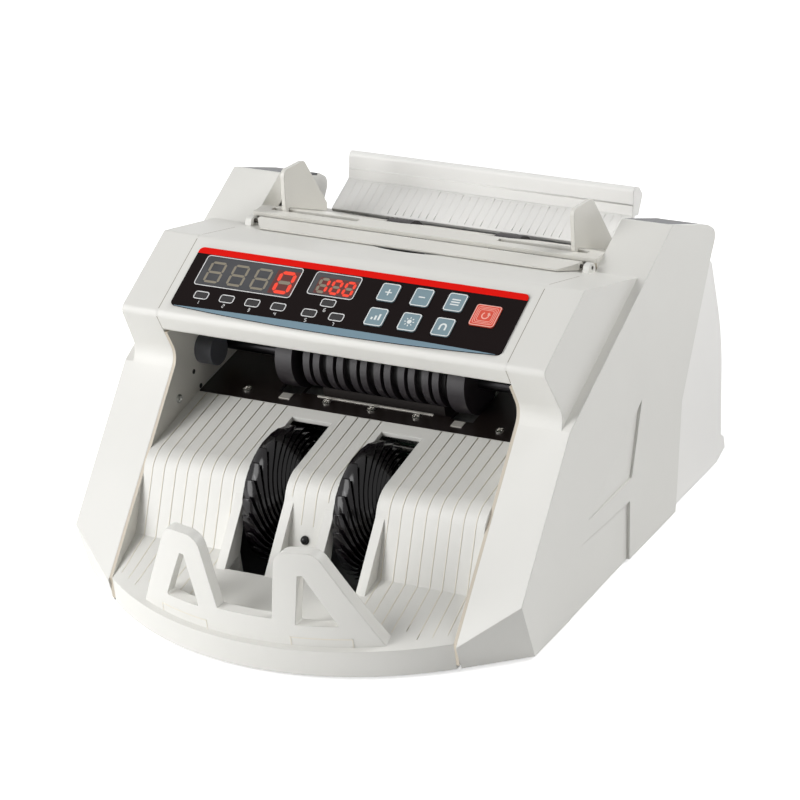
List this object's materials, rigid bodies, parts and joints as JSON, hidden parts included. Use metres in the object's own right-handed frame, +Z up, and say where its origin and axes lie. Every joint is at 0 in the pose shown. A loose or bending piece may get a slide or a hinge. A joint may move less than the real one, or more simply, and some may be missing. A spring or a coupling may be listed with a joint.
{
  "type": "banknote counting machine",
  "caption": "Desktop banknote counter with a sloping control panel nose, rear hopper with sliding guides, rubber feed rollers, bladed stacker wheels and a curved front tray.",
  "frame": {"origin": "on the table, under the middle of the machine's box", "axes": "+X to the machine's right as its user sees it, +Y from front to back, +Z up"},
  "size_m": [0.29, 0.313, 0.1805],
  "materials": {
    "casing": "warm off-white injection-moulded ABS, fine satin grain",
    "dark_cap": "dark grey moulded insert",
    "chassis": "sheet steel with off-white powder coat",
    "base": "grey powder-coated sheet steel",
    "overlay": "screen-printed polyester film",
    "window": "smoked acrylic",
    "board": "glass-epoxy circuit board",
    "display": "cast epoxy display block",
    "key": "blue-grey silicone key cap",
    "restart": "red silicone key cap",
    "sensor": "black infrared lens",
    "black_gloss": "flexible glossy black polyurethane",
    "black_plate": "black powder-coated sheet steel",
    "rubber": "moulded rubber",
    "roller_core": "black moulded plastic",
    "steel": "ground steel",
    "pulley": "turned aluminium",
    "bush": "sintered bronze and plated brass",
    "motor": "zinc-plated steel can",
    "transformer": "varnished laminations and taped winding",
    "grey_plastic": "mid grey moulded plastic",
    "black_plastic": "black moulded plastic"
  },
  "bodies": {
    "machine": {"base_plate": "base", "cross_bars": "base", "cross_rods": "steel", "display_board": "board", "display_housing": "casing", "display_modules": "display", "display_windows": "window", "drive_belts": "rubber", "drive_motors": "motor", "fuse_holder": "black_plastic", "guide_plate": "black_plate", "hopper_back_plate": "casing", "hopper_deck": "casing", "inlet_pins": "bush", "lamp_windows": "window", "left_chassis_plate": "chassis", "left_side_cover": "casing", "main_board": "board", "panel_overlay": "overlay", "power_inlet": "black_plastic", "rear_cover": "casing", "right_chassis_plate": "chassis", "right_side_cover": "casing", "rubber_feet": "rubber", "separator_pad": "rubber", "shaft_bushes": "bush", "side_sensors": "grey_plastic", "spring_tabs": "steel", "stacker_sensor": "sensor", "stacker_tray": "casing", "switch_bezel": "black_plastic", "top_caps": "dark_cap", "transformer": "transformer"},
    "feed_roller": {"feed_shaft": "steel", "feed_roller_core": "roller_core", "feed_roller_rings": "rubber", "feed_wheels": "rubber", "feed_pulleys": "pulley", "encoder_disc": "roller_core"},
    "impeller": {"impeller_shaft": "steel", "impeller_wheels": "black_gloss", "impeller_pulley": "pulley"},
    "pickup_roller": {"pickup_shaft": "steel", "pickup_rollers": "rubber", "pickup_pulley": "pulley"},
    "feed_motor_rotor": {"feed_motor_pulley": "pulley"},
    "stacker_motor_rotor": {"stacker_motor_pulley": "pulley"},
    "lid": {"hopper_lid": "casing", "lid_pins": "steel"},
    "left_guide": {"left_note_guide": "casing"},
    "right_guide": {"right_note_guide": "casing"},
    "rocker": {"switch_rocker": "black_plastic"},
    "knob": {"thickness_knob": "grey_plastic"},
    "key_plus_cap": {"key_plus": "key"},
    "key_minus_cap": {"key_minus": "key"},
    "key_batch_cap": {"key_batch": "key"},
    "key_add_cap": {"key_add": "key"},
    "key_lamp_cap": {"key_lamp": "key"},
    "key_magnet_cap": {"key_magnet": "key"},
    "key_restart_cap": {"key_restart": "restart"}
  },
  "joints": [
    {"name": "feed_spin", "type": "hinge", "parent": "machine", "child": "feed_roller", "pos_m": [0, 0.015, 0.1], "axis": [1, 0, 0], "continuous": true},
    {"name": "impeller_spin", "type": "hinge", "parent": "machine", "child": "impeller", "pos_m": [0, -0.05, 0.046], "axis": [1, 0, 0], "continuous": true},
    {"name": "pickup_spin", "type": "hinge", "parent": "machine", "child": "pickup_roller", "pos_m": [0, 0.10196, 0.13092], "axis": [1, 0, 0], "continuous": true},
    {"name": "feed_motor_spin", "type": "hinge", "parent": "machine", "child": "feed_motor_rotor", "pos_m": [0, 0.045, 0.05], "axis": [1, 0, 0], "continuous": true},
    {"name": "stacker_motor_spin", "type": "hinge", "parent": "machine", "child": "stacker_motor_rotor", "pos_m": [0, 0, 0.032], "axis": [1, 0, 0], "continuous": true},
    {"name": "lid_hinge", "type": "hinge", "parent": "machine", "child": "lid", "pos_m": [0, 0.063, 0.1543], "axis": [-1, 0, 0], "range_deg": [0, 75]},
    {"name": "left_guide_slide", "type": "slide", "parent": "machine", "child": "left_guide", "axis": [1, 0, 0], "range_m": [-0.003, 0.038]},
    {"name": "right_guide_slide", "type": "slide", "parent": "machine", "child": "right_guide", "axis": [-1, 0, 0], "range_m": [-0.003, 0.038]},
    {"name": "power_rocker", "type": "hinge", "parent": "machine", "child": "rocker", "pos_m": [0.098, 0.129, 0.033], "axis": [1, 0, 0], "range_deg": [0, 16]},
    {"name": "thickness_turn", "type": "hinge", "parent": "machine", "child": "knob", "pos_m": [0, 0.143, 0.097], "axis": [0, 1, 0], "range_deg": [-270, 270]},
    {"name": "key_plus_press", "type": "slide", "parent": "machine", "child": "key_plus_cap", "axis": [0, 0.4274, -0.9041], "range_m": [0, 0.0005], "stiffness_N_per_m": 400},
    {"name": "key_minus_press", "type": "slide", "parent": "machine", "child": "key_minus_cap", "axis": [0, 0.4274, -0.9041], "range_m": [0, 0.0005], "stiffness_N_per_m": 400},
    {"name": "key_batch_press", "type": "slide", "parent": "machine", "child": "key_batch_cap", "axis": [0, 0.4274, -0.9041], "range_m": [0, 0.0005], "stiffness_N_per_m": 400},
    {"name": "key_add_press", "type": "slide", "parent": "machine", "child": "key_add_cap", "axis": [0, 0.4274, -0.9041], "range_m": [0, 0.0005], "stiffness_N_per_m": 400},
    {"name": "key_lamp_press", "type": "slide", "parent": "machine", "child": "key_lamp_cap", "axis": [0, 0.4274, -0.9041], "range_m": [0, 0.0005], "stiffness_N_per_m": 400},
    {"name": "key_magnet_press", "type": "slide", "parent": "machine", "child": "key_magnet_cap", "axis": [0, 0.4274, -0.9041], "range_m": [0, 0.0005], "stiffness_N_per_m": 400},
    {"name": "key_restart_press", "type": "slide", "parent": "machine", "child": "key_restart_cap", "axis": [0, 0.4274, -0.9041], "range_m": [0, 0.0005], "stiffness_N_per_m": 400}
  ],
  "couplings": [
    {"joint": "pickup_spin", "follows": "feed_spin", "ratio": 0.84615},
    {"joint": "feed_motor_spin", "follows": "feed_spin", "ratio": 1.2222},
    {"joint": "stacker_motor_spin", "follows": "impeller_spin", "ratio": 1.875}
  ]
}
